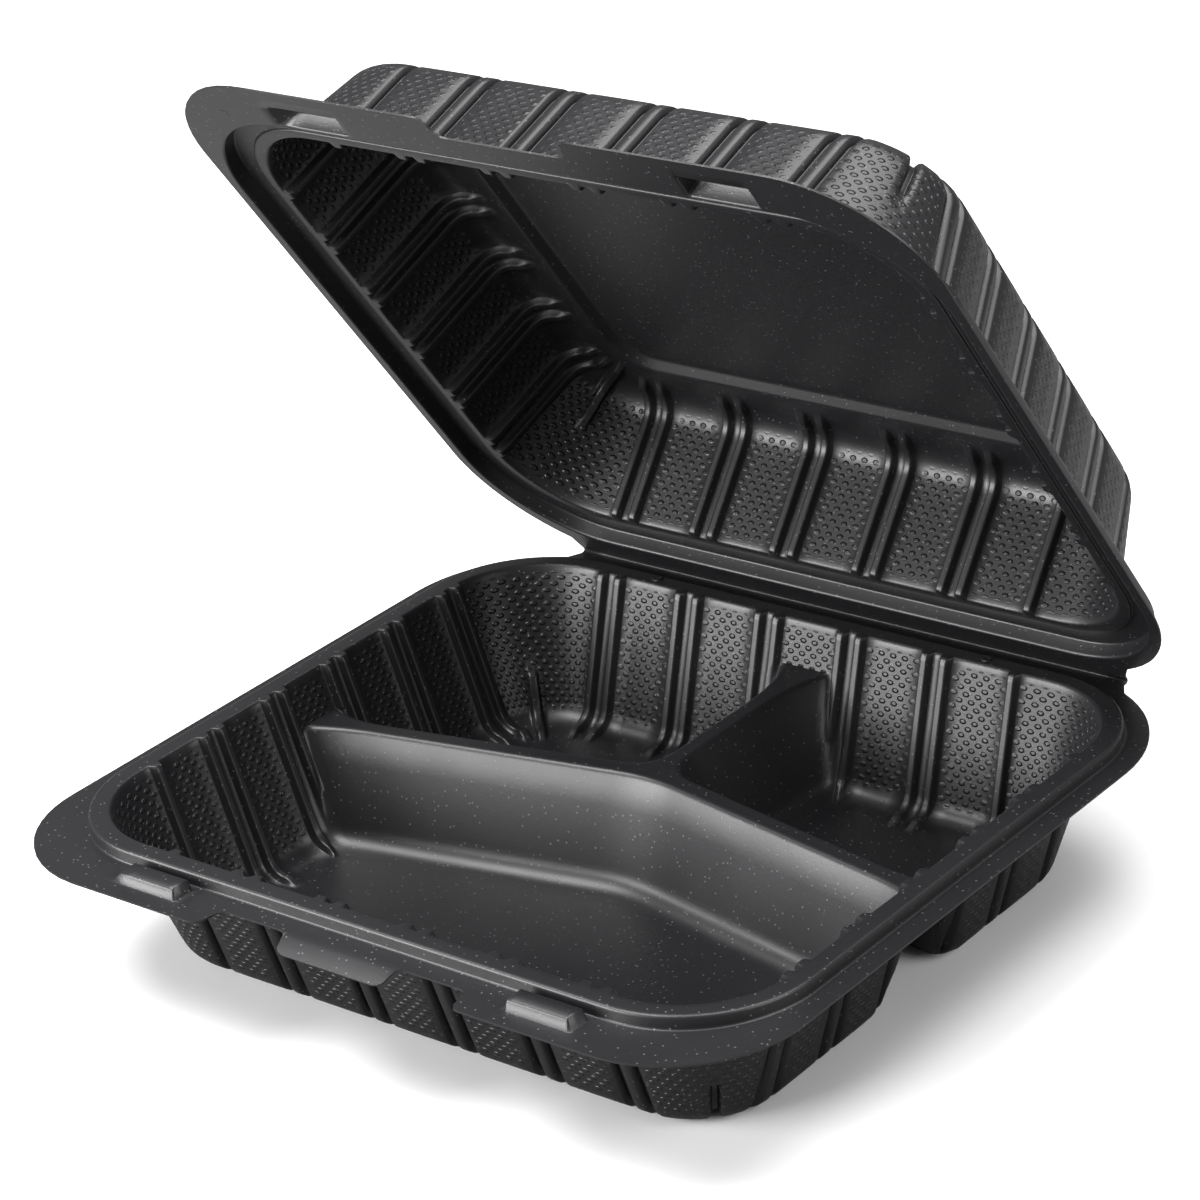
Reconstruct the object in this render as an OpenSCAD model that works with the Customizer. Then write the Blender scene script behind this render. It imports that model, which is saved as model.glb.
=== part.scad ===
// Three-compartment hinged take-out container, thermoformed in one sheet of black polypropylene.
// Frame: X along the hinge, Y from the latch edge (front) to the hinge (back), Z up.
// The origin is at the middle of the tray's underside. The lid is drawn at lid_open degrees from closed.

/* [Sheet] */
// Thickness of the formed sheet
sheet = 0.5; // [0.4:0.05:0.8]
// Clearance between the closed lid and the tray
fit_gap = 0.3; // [0.25:0.05:0.6]

/* [Tray] */
// Width of the tray's mouth along the hinge
mouth_w = 205; // [180:1:230]
// Depth of the tray's mouth from front to back
mouth_d = 180.5; // [165:0.5:210]
// Height of the flange's top above the table
flange_z = 38.6; // [34:0.2:50]
// Height of the raised rim above the flange
rim_rise = 3.5; // [2.5:0.1:4.5]
// Width of the raised rim
rim_w = 5.8; // [5:0.1:8]
// Inward lean of the walls for each unit of height
wall_lean = 0.31; // [0.2:0.01:0.36]
// Corner radius of the tray's mouth
mouth_r = 28; // [24:1:31]
// Corner radius at the tray's floor
floor_r = 18; // [14:1:22]
// Radius between wall and floor
floor_fillet = 7; // [4:0.5:9]

/* [Flange] */
// Flange width beyond the raised rim at the two sides
side_flange = 6.2; // [5:0.1:9]
// Flange width beyond the raised rim at the front
front_flange = 13.7; // [12:0.1:18]
// Flange width beyond the raised rim at the back
back_flange = 7.5; // [7:0.1:12]
// Corner radius of the flange at the front
front_r = 34; // [28:1:40]
// Corner radius of the flange at the back
back_r = 42; // [34:1:46]
// How far the front edge is cut back beside the opening tongue
cutback = 8; // [5:0.5:9]
// Width of the opening tongue
tongue_w = 34; // [24:1:40]
// Length of each cut-back stretch beside the tongue
cutback_w = 22; // [16:1:26]
// Turn-down at the tip of the opening tongue
tongue_drop = 2.4; // [1:0.2:4]

/* [Dividers] */
// Height of the divider's crest above the table
crest_z = 30; // [24:0.5:33]
// Width of the divider's crest
crest_w = 5.5; // [4:0.5:8]
// Distance from the middle of the mouth back to the divider's junction
junction_y = 18.8; // [5:0.2:30]
// Sweep of the two side arms towards the front, from the junction to the wall
arm_sweep = 19.5; // [5:0.5:30]
// Lean of the divider's faces for each unit of height
divider_lean = 0.34; // [0.25:0.01:0.4]
// Plan radius where two dividers or a divider and a wall meet
nook_r = 9; // [6:0.5:12]

/* [Ribs] */
// Distance between rib pairs on the front and back walls
pitch_x = 26.9; // [25:0.1:27.5]
// Distance between rib pairs on the side walls
pitch_y = 24.2; // [22:0.1:25]
// Distance between the two ribs of a pair
pair_gap = 6; // [5:0.1:6.5]
// Width of a rib at its root
rib_w = 3.6; // [3:0.1:4]
// How far a rib stands in from the wall
rib_depth = 1.9; // [1:0.1:2.5]
// How far the tray's ribs run in over the floor, from the foot of the straight wall
rib_floor = 9; // [7:0.5:12]
// Height of the short ribs in the corners above the floor
corner_rib_h = 14; // [10:1:24]
// How far a corner's short rib runs in beyond the fillet
corner_rib_reach = 6; // [3:0.5:10]

/* [Latches] */
// Distance of each latch block from the middle
latch_x = 61; // [50:0.5:68]
// Width of a latch block
latch_w = 19; // [14:0.5:22]
// Front-to-back size of a latch block
latch_d = 6.4; // [5:0.2:8]
// Height of a latch block above the flange
latch_h = 3.2; // [2:0.1:3.4]
// Space between the raised rim and a latch block
latch_back = 2; // [1.5:0.1:2.5]

/* [Lid] */
// Angle between the lid and its closed position
lid_open = 54.6; // [0:0.1:125]
// Height of the lid's shoulder above the hinge plane
shoulder_h = 37.6; // [30:0.2:44]
// Rise of the lid's top panel above the shoulder
panel_rise = 2.4; // [1:0.1:4]
// Inward lean of the lid's walls
lid_lean = 0.28; // [0.2:0.01:0.34]
// Radius of the shoulder between wall and top
shoulder_r = 9; // [6:0.5:12]
// Distance from the lid's wall to the step of the top panel
panel_margin = 26; // [20:0.5:32]
// Width of the sealing strip between the rim channel and the lid's wall
strip_w = 3; // [2:0.1:4]
// Drop of the sealing strip below the channel's ceiling
strip_drop = 0.9; // [0.9:0.1:1.5]
// Clearance between the sealing strip's step and the tray's rim, seen from above
strip_gap = 0.2; // [0.1:0.05:0.5]
// How far the lid's side edges stay inside the tray's edge
lid_inset = 2.5; // [1:0.1:4]
// How far the lid's front edge reaches past the tray's edge
lid_reach = 1.5; // [0:0.1:3]
// Width of the cut-back in the lid's front edge, over the tray's tongue
lid_cut_w = 40; // [30:1:60]
// Corner radius of the top panel
panel_r = 12; // [8:0.5:18]
// How far the lid's ribs run in over the shoulder
rib_reach = 21; // [16:0.5:24]
// Radius of the living hinge's bead
hinge_r = 0.45; // [0.35:0.05:0.6]
// Length of the living hinge
hinge_l = 178; // [150:2:184]
// Radius of the small vent pips
pip_r = 1.6; // [1:0.1:1.8]
// Height of the small vent pips
pip_h = 0.6; // [0.3:0.1:0.8]

/* [Hidden] */
ARC = 6;
PAIRS = 6;
THIN = 0.01;
OVER = 1;
STRIP = 5;
RIB_ROOT = 1.3;
GRAIN = 0.005;
// A rib's slices fall between the steps of the wall behind it.
BETWEEN = [0.1, 0.37, 0.63, 0.9];
charcoal = "#232325";

half_x = mouth_w / 2;
half_y = mouth_d / 2;
rim_z = flange_z + rim_rise;
tray_depth = rim_z - sheet;
edge_x = half_x + rim_w + side_flange;
edge_front = half_y + rim_w + front_flange;
edge_back = half_y + rim_w + back_flange;
axis_y = edge_back + fit_gap + 2 * hinge_r;
axis_z = flange_z + fit_gap / 2;
latch_y = -(half_y + rim_w + latch_back + latch_d / 2);
pip_x = 2 * pitch_x;

// The sealing strip lies flat just above the tray's rim, all round inside it, and the lid's wall starts at its inner edge.
lid_x = half_x - strip_gap - strip_w;
lid_y = half_y - strip_gap - strip_w;
strip_h = rim_rise + fit_gap / 2;
channel_h = strip_h + strip_drop;
channel_w = rim_w + fit_gap;
lid_depth = shoulder_h - strip_h;

// An outline is a list of corners, anticlockwise. Its corners are rounded and its sides moved in by d.
function unit(v) = v / norm(v);
function inward(a, b) = let (u = unit(b - a)) [-u.y, u.x];
function corner(p, q, s, r, d) =
    let (n1 = inward(p, q), n2 = inward(q, s), c = q + (r + d) * (n1 + n2) / (1 + n1 * n2),
         start = atan2(-n1.y, -n1.x), turn = atan2(n1.x * n2.y - n1.y * n2.x, n1 * n2))
    [for (i = [0:ARC]) c + r * [cos(start + turn * i / ARC), sin(start + turn * i / ARC)]];
function rounded(pts, rs, d) =
    let (n = len(pts))
    [for (i = [0:n - 1]) each corner(pts[(i + n - 1) % n], pts[i], pts[(i + 1) % n], rs[i], d)];
function box_outline(x, front, back) = [[x, -front], [x, back], [-x, back], [-x, -front]];
function same(r) = [r, r, r, r];

function snap(a) = round(a / GRAIN) * GRAIN;

// Solid through slices of equally many points from the top down, closed by a flat cap at both ends.
module stack(slices) {
    n = len(slices[0]);
    m = len(slices);
    points = [for (slice = slices, p = slice) [snap(p.x), snap(p.y), snap(p.z)]];
    sides = [for (k = [0:m - 2]) for (i = [0:n - 1])
        let (j = (i + 1) % n, a = k * n + i, b = k * n + j)
        each [[a, b, b + n], [a, b + n, a + n]]];
    caps = [[for (i = [n - 1:-1:0]) i], [for (i = [0:n - 1]) (m - 1) * n + i]];
    polyhedron(points, concat(sides, caps));
}
module skin(rings, heights) {
    stack([for (k = [0:len(rings) - 1]) [for (p = rings[k]) [p.x, p.y, heights[k]]]]);
}

// Block with upright, slightly drafted sides and rounded corners, from z0 up to z1.
module block(x, y, r, z0, z1) {
    pts = box_outline(x, y, y);
    hull() skin([rounded(pts, same(r), 0.3), rounded(pts, same(r), 0)], [z1, z0]);
}

// Fillet at the foot of a drafted wall, at shares of its turn: [depth, inset, angle of the inward normal].
function fillet_steps(depth, lean, fillet, shares) =
    let (phi = atan(lean), c = lean * (depth - fillet) + fillet / cos(phi))
    [for (share = shares) let (t = phi + (90 - phi) * share)
        [depth - fillet + fillet * sin(t), c - fillet * cos(t), t]];

// Drafted pan, mouth up at height top. It is grown outwards by grow and reaches up past the mouth by over.
module pan(pts, rs, rs_floor, depth, lean, fillet, top, grow, over) {
    steps = fillet_steps(depth, lean, fillet, [0, 0.25, 0.5, 0.75, 1]);
    total = steps[len(steps) - 1][1];
    function radii(inset) = [for (i = [0:len(rs) - 1]) rs[i] + (rs_floor[i] - rs[i]) * inset / total + grow];
    hull() skin(concat([rounded(pts, radii(0), -grow - over * lean)],
                [for (s = steps) rounded(pts, radii(s[1]), s[1] - grow * cos(s[2]))]),
         concat([top + over], [for (s = steps) top - s[0] - grow * sin(s[2])]));
}

// Line that a rib follows: up past the mouth, down the wall, and over the fillet to an inset of reach.
function rib_line(depth, lean, fillet, top, reach, grow) =
    let (steps = fillet_steps(depth, lean, fillet, BETWEEN), phi = atan(lean),
         line = concat([[-2, -2 * lean, phi]], steps, [[depth, reach - grow, 90]]))
    [for (s = line) [top - s[0] - grow * sin(s[2]), s[1] - grow * cos(s[2]), s[2]]];

// The same in a corner, along its diagonal, from a height of start over the floor to reach beyond the fillet.
function corner_line(depth, lean, fillet, top, r0, r1, start, reach, grow) =
    let (steps = fillet_steps(depth, lean, fillet, BETWEEN), total = steps[len(steps) - 1][1], run = sqrt(2),
         line = concat([[depth - start, lean * (depth - start), atan(lean)]], steps))
    concat([for (k = [0:len(line) - 1]) let (s = line[k], r = r0 + (r1 - r0) * s[1] / total)
               [top - s[0] - grow * (k == 0 ? 1 : sin(s[2])),
                (s[1] + r) * run - r - r0 * (run - 1) - grow * cos(s[2]), s[2]]],
           [[top - depth - grow, (total + r1) * run - r1 - r0 * (run - 1) + reach - grow, 90]]);

// One rib along a line of steps, on a wall that runs along X and faces +Y.
module rib(line, at, width) {
    tip = width * 0.3;
    foot = tip + (width / 2 - tip) * (1 + RIB_ROOT / rib_depth);
    section = [[-foot, -RIB_ROOT], [foot, -RIB_ROOT], [tip, rib_depth], [-tip, rib_depth]];
    function slice(s) = [for (q = section) [at + q.x, s[1] + q.y * cos(s[2]), s[0] + q.y * sin(s[2])]];
    stack([for (s = line) slice(s)]);
}

// Rib places along one wall: full pairs, with a single rib at the last corner. Sense -1 counts from the far end.
function rib_places(pitch, sense) =
    [for (k = [0:PAIRS - 1]) let (c = (k - (PAIRS - 1) / 2) * pitch)
        each (k < PAIRS - 1 ? [sense * (c - pair_gap / 2), sense * (c + pair_gap / 2)] : [sense * (c - pair_gap / 2)])];

// The ribs of a pan on its four walls, and one short rib low in each corner.
module ribs(x, y, line, low_line, corner_r, grow) {
    width = rib_w - 2 * grow * 0.7;
    for (side = [0:3]) rotate([0, 0, 90 * side]) translate([0, side % 2 == 0 ? -y : -x, 0])
        for (a = side % 2 == 0 ? rib_places(pitch_x, -1) : rib_places(pitch_y, 1)) rib(line, a, width);
    for (sx = [-1, 1], sy = [-1, 1])
        translate([sx * (x - corner_r * (1 - cos(45))), sy * (y - corner_r * (1 - cos(45))), 0])
            rotate([0, 0, sy < 0 ? 45 * sx : 180 - 45 * sx]) rib(low_line, 0, width);
}

// Flange outline, with the hinge's strip at the back, cut back over a stretch in the middle of its front edge.
module trim(x, front, back, cut_w, cut) {
    offset(r = -2) offset(r = 4) offset(r = -2) difference() {
        union() {
            polygon(rounded(box_outline(x, front, back), [front_r, back_r, back_r, front_r], 0));
            translate([-hinge_l / 2, back - STRIP]) square([hinge_l, STRIP]);
        }
        translate([-cut_w / 2, -front - OVER]) square([cut_w, cut + OVER]);
    }
}

// Small round pip on a face at height z, r0 at its foot.
module pip(x, y, z, r0) {
    translate([x, y, z]) cylinder(r1 = r0, r2 = r0 * 0.75, h = pip_h, $fn = 14);
}

// Block over a latch, wider by more and reaching from z0 up to z1.
module latch_block(side, more, z0, z1) {
    w = latch_w / 2 + more;
    d = latch_d / 2 + more;
    translate([side * latch_x, latch_y, 0]) hull() {
        translate([-w, -d, z0]) cube([2 * w, 2 * d, THIN]);
        translate([0.4 - w, 0.3 - d, z1 - THIN]) cube([2 * w - 0.8, 2 * d - 0.6, THIN]);
    }
}

// Space over the three compartments below the divider's crest. It reaches past the walls.
module compartments(grow) {
    out = 12;
    b = crest_w / 2;
    wall_y = junction_y - arm_sweep;
    bend_x = half_x - 1.5 * nook_r;
    bend_y = junction_y - arm_sweep * bend_x / half_x;
    front = [[half_x + out, -half_y - out], [half_x + out, wall_y - b - nook_r], [bend_x, bend_y - b],
             [0, junction_y - b], [-bend_x, bend_y - b], [-half_x - out, wall_y - b - nook_r],
             [-half_x - out, -half_y - out]];
    pan(front, [1, 1, nook_r, 3 * nook_r, nook_r, 1, 1], [1, 1, nook_r, 2 * nook_r, nook_r, 1, 1],
        crest_z - sheet + THIN, divider_lean, floor_fillet, crest_z, grow, OVER);
    back = [[b, junction_y + b], [bend_x, bend_y + b], [half_x + out, wall_y + b + nook_r],
            [half_x + out, half_y + out], [b + nook_r, half_y + out], [b, half_y - 2 * nook_r]];
    for (m = [0, 1]) mirror([m, 0, 0])
        pan(back, [nook_r, nook_r, 1, 1, nook_r, nook_r], [nook_r, nook_r, 1, 1, nook_r, nook_r],
            crest_z - sheet + THIN, divider_lean, floor_fillet, crest_z, grow, OVER);
}

// The tray's inside when grow is 0, and its outside when grow is the sheet.
module tray_form(grow, over) {
    pts = box_outline(half_x, half_y, half_y);
    difference() {
        pan(pts, same(mouth_r), same(floor_r), tray_depth, wall_lean, floor_fillet, rim_z, grow, over);
        ribs(half_x, half_y,
             rib_line(tray_depth, wall_lean, floor_fillet, rim_z, tray_depth * wall_lean + rib_floor, grow),
             corner_line(tray_depth, wall_lean, floor_fillet, rim_z, mouth_r, floor_r, corner_rib_h, corner_rib_reach, grow),
             mouth_r, grow);
        difference() {
            translate([-half_x - 10, -half_y - 10, -OVER]) cube([mouth_w + 20, mouth_d + 20, crest_z + OVER - grow]);
            compartments(grow);
        }
    }
}

module tongue() {
    root = -edge_front + cutback;
    hull() {
        translate([-tongue_w / 2 - 2, root, flange_z - sheet]) cube([tongue_w + 4, 2, sheet]);
        for (s = [-1, 1]) translate([s * (tongue_w / 2 - 3), -edge_front + 5, flange_z - sheet - tongue_drop])
            cylinder(r = 3, h = sheet, $fn = 24);
    }
}

module base_tray() {
    color(charcoal) difference() {
        union() {
            difference() {
                union() {
                    translate([0, 0, flange_z - sheet]) linear_extrude(sheet)
                        trim(edge_x, edge_front, edge_back, tongue_w + 2 * cutback_w, cutback);
                    block(half_x + rim_w, half_y + rim_w, mouth_r + rim_w, flange_z - sheet, rim_z);
                    for (s = [-1, 1]) latch_block(s, 0, flange_z - sheet, flange_z + latch_h);
                }
                block(half_x + rim_w - sheet, half_y + rim_w - sheet, mouth_r + rim_w - sheet,
                      flange_z - sheet - OVER, rim_z - sheet);
                for (s = [-1, 1]) latch_block(s, -sheet, flange_z - sheet - OVER, flange_z + latch_h - sheet);
            }
            tray_form(sheet, 0);
            tongue();
            translate([-hinge_l / 2, axis_y, axis_z]) rotate([0, 90, 0])
                cylinder(r = hinge_r, h = hinge_l, $fn = 16);
            translate([-hinge_l / 2, edge_back - STRIP, flange_z - sheet])
                cube([hinge_l, axis_y - edge_back + STRIP, sheet]);
            for (s = [-1, 1]) pip(s * pip_x, half_y + rim_w / 2, rim_z - THIN, pip_r);
        }
        tray_form(0, OVER);
    }
}

// The lid's inside when grow is 0, and its outside when grow is the sheet. Drawn as a pan, mouth up.
module lid_form(grow, over) {
    pts = box_outline(lid_x, lid_y, lid_y);
    r = mouth_r - 1;
    difference() {
        pan(pts, same(r), same(floor_r), lid_depth, lid_lean, shoulder_r, -strip_h, grow, over);
        ribs(lid_x, lid_y, rib_line(lid_depth, lid_lean, shoulder_r, -strip_h, rib_reach, grow),
             corner_line(lid_depth, lid_lean, shoulder_r, -strip_h, r, floor_r, corner_rib_h, corner_rib_reach, grow),
             r, grow);
    }
    translate([0, 0, -shoulder_h]) top_panel(grow);
}

module top_panel(grow) {
    x = lid_x - panel_margin;
    y = lid_y - panel_margin;
    rise = panel_rise + grow;
    skin([rounded(box_outline(x, y, y), same(panel_r), -1 - grow), rounded(box_outline(x, y, y), same(panel_r), -grow),
          rounded(box_outline(x, y, y), same(panel_r), rise - grow)],
         [OVER, 0, -rise]);
}

// Lid as a pan, mouth up, with the hinge plane at height 0 and its middle over the tray's middle.
module lid_pan() {
    low = -fit_gap / 2;
    x = half_x + channel_w;
    y = half_y + channel_w;
    r = mouth_r + channel_w;
    bx = lid_x + strip_w;
    by = lid_y + strip_w;
    difference() {
        union() {
            difference() {
                union() {
                    difference() {
                        union() {
                            translate([0, 0, low - sheet]) linear_extrude(sheet)
                                trim(edge_x - lid_inset, edge_front + lid_reach, axis_y - 2 * hinge_r, lid_cut_w, cutback - 1);
                            mirror([0, 0, 1]) block(x + sheet, y + sheet, r + sheet, -low, channel_h + sheet);
                            for (s = [-1, 1]) mirror([0, 0, 1])
                                latch_block(s, 2 * fit_gap + sheet, -low, channel_h + sheet);
                        }
                        mirror([0, 0, 1]) block(x, y, r, -low - OVER, channel_h);
                        for (s = [-1, 1]) mirror([0, 0, 1]) latch_block(s, 2 * fit_gap, -low - OVER, channel_h);
                    }
                    mirror([0, 0, 1]) block(bx, by, mouth_r, strip_h, channel_h + sheet);
                }
                mirror([0, 0, 1]) block(bx - sheet, by - sheet, mouth_r - sheet, strip_h + sheet, channel_h + sheet + OVER);
            }
            lid_form(sheet, 0);
        }
        lid_form(0, OVER);
    }
}

module lid() {
    color(charcoal) translate([0, axis_y, axis_z]) rotate([-lid_open, 0, 0])
        translate([0, -axis_y, 0]) mirror([0, 0, 1]) lid_pan();
}

base_tray();
lid();
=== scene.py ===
import math

import bpy
import numpy as np
from mathutils import Matrix, Vector


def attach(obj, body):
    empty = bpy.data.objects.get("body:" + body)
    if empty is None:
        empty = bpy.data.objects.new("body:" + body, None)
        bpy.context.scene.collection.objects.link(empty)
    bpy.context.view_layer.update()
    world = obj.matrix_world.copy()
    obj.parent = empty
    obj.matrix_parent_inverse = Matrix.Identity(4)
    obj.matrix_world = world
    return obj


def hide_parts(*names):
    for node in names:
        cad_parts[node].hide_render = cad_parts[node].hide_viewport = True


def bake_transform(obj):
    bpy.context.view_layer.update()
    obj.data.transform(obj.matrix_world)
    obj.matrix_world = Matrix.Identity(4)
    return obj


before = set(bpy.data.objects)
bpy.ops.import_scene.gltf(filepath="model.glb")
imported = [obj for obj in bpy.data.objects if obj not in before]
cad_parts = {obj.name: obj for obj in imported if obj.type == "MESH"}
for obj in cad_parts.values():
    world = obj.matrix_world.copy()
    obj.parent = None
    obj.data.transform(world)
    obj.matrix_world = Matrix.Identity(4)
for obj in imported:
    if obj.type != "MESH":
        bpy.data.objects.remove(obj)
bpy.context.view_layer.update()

# ---------------------------------------------------------------- black polypropylene
# Carbon-black, mineral-filled polypropylene sheet as the vacuum former leaves it: satin, with a very fine grain and
# pale specks of filler. The wall panels carry small pressed ovals in staggered columns. They are laid out in
# millimetres along the wall (u along it, v down it), and only where the attribute "panel" is 1.
MM = 0.001
OVAL_STEP = (1.85, 1.8)         # from one column of ovals to the next, and from row to row
OVAL_HALF = (1.12, 0.74)        # half length and half height of an oval
OVAL_RISE, GRAIN_RISE, SPECK_RISE = 0.34, 0.02, 0.03


def srgb(code):
    """Linear RGBA of a hex colour: each channel c of 0..1 becomes c/12.92 below 0.04045, else ((c+0.055)/1.055)^2.4."""
    c = np.array([int(code[i:i + 2], 16) / 255 for i in (1, 3, 5)])
    c = np.where(c <= 0.04045, c / 12.92, ((c + 0.055) / 1.055) ** 2.4)
    return (*c.tolist(), 1.0)


def add_node(tree, kind, inputs=None, **settings):
    """New shader node of a kind. Inputs given as numbers are set on its sockets, and sockets are linked."""
    node = tree.nodes.new(kind)
    for name, value in settings.items():
        setattr(node, name, value)
    for key, value in (inputs or {}).items():
        if isinstance(value, bpy.types.NodeSocket):
            tree.links.new(value, node.inputs[key])
        else:
            node.inputs[key].default_value = value
    return node


def polypropylene():
    """Staggered lattice of ovals: with p = u / step and q = v / step, an oval's middle lies where (p + q) / 2 and
    (p - q) / 2 are both whole numbers. What is left of both after rounding gives the distance from the middle in
    half lengths, and a smooth step of its square gives the oval's height."""
    mat = bpy.data.materials.new("black_polypropylene")
    mat.use_nodes = True
    tree = mat.node_tree
    tree.nodes.clear()
    uv = add_node(tree, "ShaderNodeUVMap", uv_map="wall_mm").outputs[0]
    panel = add_node(tree, "ShaderNodeAttribute", attribute_name="panel").outputs["Fac"]
    pq = add_node(tree, "ShaderNodeVectorMath", {0: uv, 1: (*OVAL_STEP, 1.0)}, operation="DIVIDE").outputs[0]
    turned = [add_node(tree, "ShaderNodeVectorMath", {0: pq, 1: (0.5, half, 0.0)}, operation="DOT_PRODUCT")
              for half in (0.5, -0.5)]
    lattice = add_node(tree, "ShaderNodeCombineXYZ", {k: node.outputs["Value"] for k, node in enumerate(turned)})
    left = add_node(tree, "ShaderNodeVectorMath", {0: lattice.outputs[0], 1: (0.5, 0.5, 0.5), 2: (-0.5, -0.5, -0.5)},
                    operation="WRAP").outputs[0]
    ratio_u, ratio_v = OVAL_STEP[0] / OVAL_HALF[0], OVAL_STEP[1] / OVAL_HALF[1]
    away = [add_node(tree, "ShaderNodeVectorMath", {0: left, 1: factors}, operation="DOT_PRODUCT")
            for factors in ((ratio_u, ratio_u, 0.0), (ratio_v, -ratio_v, 0.0))]
    away = add_node(tree, "ShaderNodeCombineXYZ", {k: node.outputs["Value"] for k, node in enumerate(away)}).outputs[0]
    square = add_node(tree, "ShaderNodeVectorMath", {0: away, 1: away}, operation="DOT_PRODUCT").outputs["Value"]
    bowl = add_node(tree, "ShaderNodeMapRange", {"Value": square, "From Min": 0.15, "From Max": 1.0, "To Min": 1.0,
                                                 "To Max": 0.0}, interpolation_type="SMOOTHSTEP").outputs[0]
    ovals = add_node(tree, "ShaderNodeMath", {0: bowl, 1: panel}, operation="MULTIPLY").outputs[0]
    place = add_node(tree, "ShaderNodeTexCoord").outputs["Object"]
    grain = add_node(tree, "ShaderNodeTexNoise", {"Vector": place, "Scale": 1400.0, "Detail": 2.0}).outputs[0]
    cloud = add_node(tree, "ShaderNodeTexNoise", {"Vector": place, "Scale": 45.0, "Detail": 3.0}).outputs[0]
    # filler grains, drawn coarser than real ones so that they show
    filler = add_node(tree, "ShaderNodeTexVoronoi", {"Vector": place, "Scale": 520.0}).outputs["Distance"]
    speck = add_node(tree, "ShaderNodeMapRange", {"Value": filler, "From Min": 0.09, "From Max": 0.16, "To Min": 0.8,
                                                  "To Max": 0.0}).outputs[0]
    tone = add_node(tree, "ShaderNodeMix", {0: speck, 6: srgb("#1b1b1d"), 7: srgb("#5c5c5e")},
                    data_type="RGBA").outputs[2]
    height = 0.0
    for relief, rise in ((ovals, OVAL_RISE), (grain, GRAIN_RISE), (speck, SPECK_RISE)):
        height = add_node(tree, "ShaderNodeMath", {0: relief, 1: rise, 2: height}, operation="MULTIPLY_ADD").outputs[0]
    bump = add_node(tree, "ShaderNodeBump", {"Height": height, "Strength": 1.0, "Distance": MM})
    rough = add_node(tree, "ShaderNodeMapRange", {"Value": cloud, "To Min": 0.32, "To Max": 0.44}).outputs[0]
    shader = add_node(tree, "ShaderNodeBsdfPrincipled", {
        "Base Color": tone, "Roughness": rough, "Normal": bump.outputs[0], "IOR": 1.5, "Specular IOR Level": 0.5})
    add_node(tree, "ShaderNodeOutputMaterial", {"Surface": shader.outputs[0]})
    return mat


BLACK = polypropylene()


# ---------------------------------------------------------------- tray
# One sheet of black polypropylene, vacuum formed: flange, raised rim, ribbed walls, and three hollows between
# Y-shaped dividers. Its top side is built first, row by row from the trimmed edge to the floors, and its
# underside lies one sheet thickness behind it.
SHEET = 0.5
FLANGE_Z, RIM_Z, CREST_Z = 38.6, 42.1, 30.0
# a pan: half sizes and corner radius of its mouth, corner radius of its foot, depth, lean of its wall, foot's fillet
TRAY = dict(hx=102.5, hy=90.25, r0=28.0, r1=18.0, depth=41.6, lean=0.31, fillet=7.0)
PITCH = (26.9, 24.2)                # of the rib pairs, along front and back, and along the sides
PAIR_GAP, RIB_DEPTH, RIB_HALF = 6.0, 1.9, 1.95
RIB_STEPS = np.array([-1.95, -1.72, -1.2, -1.0, -0.5, 0.5, 1.0, 1.2, 1.72, 1.95])
PANEL_STEP, CLOSEST = 4.2, 0.14     # usual and least distance between columns
CORNER_FREE = 9                     # columns to each side of a corner's short rib
CORNER_COLUMNS = 2 * CORNER_FREE + len(RIB_STEPS)
DRAWN, CORNER_CLEAR = 16, 0.9       # length of wall whose columns are drawn in, and their distance to that rib
PAIR_CLEAR, RIB_CLEAR = 5.2, 2.3    # no ovals this near to the middle of a pair, or of a single rib
CUT, TURN = (5.2, 7.0, 7.0), 28.0   # columns at which the dividers leave the walls, and the nooks end
LATCH_X, LATCH_Y, LATCH_HALF, LATCH_RISE = 61.0, -101.25, (9.5, 3.2), 3.2
TRIM_RADII, STRIP_HALF, STRIP_FROM = (34.0, 42.0), 89, 80
RIM_FOOT, RIM_REACH = 6.4, 13.1     # from the mouth out to the rim's foot, and on to the flange's edge
TONGUE_DROOP, TONGUE_HALF = 2.4, 17.6
# front line of the flange from its middle outwards: tongue, cut-back stretch, corner
FRONT_X = [0, 14, 15.5, 16.5, 17, 17.5, 18.5, 20, 36, 37.5, 38.6, 39, 39.4, 40.5, 42]
FRONT_Y = [-107.75, -107.75, -107.4, -106.6, -104.75, -102.9, -102.1, -101.75, -101.75, -102.1, -103.5, -105.75,
           -108, -109.4, -109.75]


def new_mesh(name, verts, faces, material, smooth=True):
    """Mesh object from points in millimetres and a list of faces."""
    mesh = bpy.data.meshes.new(name)
    mesh.from_pydata((np.asarray(verts) * MM).tolist(), [], faces)
    mesh.polygons.foreach_set("use_smooth", [smooth and len(f) == 4 for f in faces])
    mesh.materials.append(material)
    mesh.update()
    obj = bpy.data.objects.new(name, mesh)
    bpy.context.scene.collection.objects.link(obj)
    return obj


def rib_places(wall):
    """Places of the ribs along one wall: five pairs, and a single rib at one end."""
    pitch, sense = (PITCH[0], -1) if wall % 2 == 0 else (PITCH[1], 1)
    places = []
    for k in range(6):
        c = (k - 2.5) * pitch
        places.append(sense * (c - PAIR_GAP / 2))
        if k < 5:
            places.append(sense * (c + PAIR_GAP / 2))
    return np.sort(places)


def rib_profile(u):
    """Share of the rib's height at a distance u from its middle: flat top, rounded edge, drafted flank."""
    return np.interp(np.abs(u), [0, 0.95, 1.1, 1.3, 1.72, 1.95], [1, 1, 0.93, 0.7, 0.1, 0])


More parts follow.
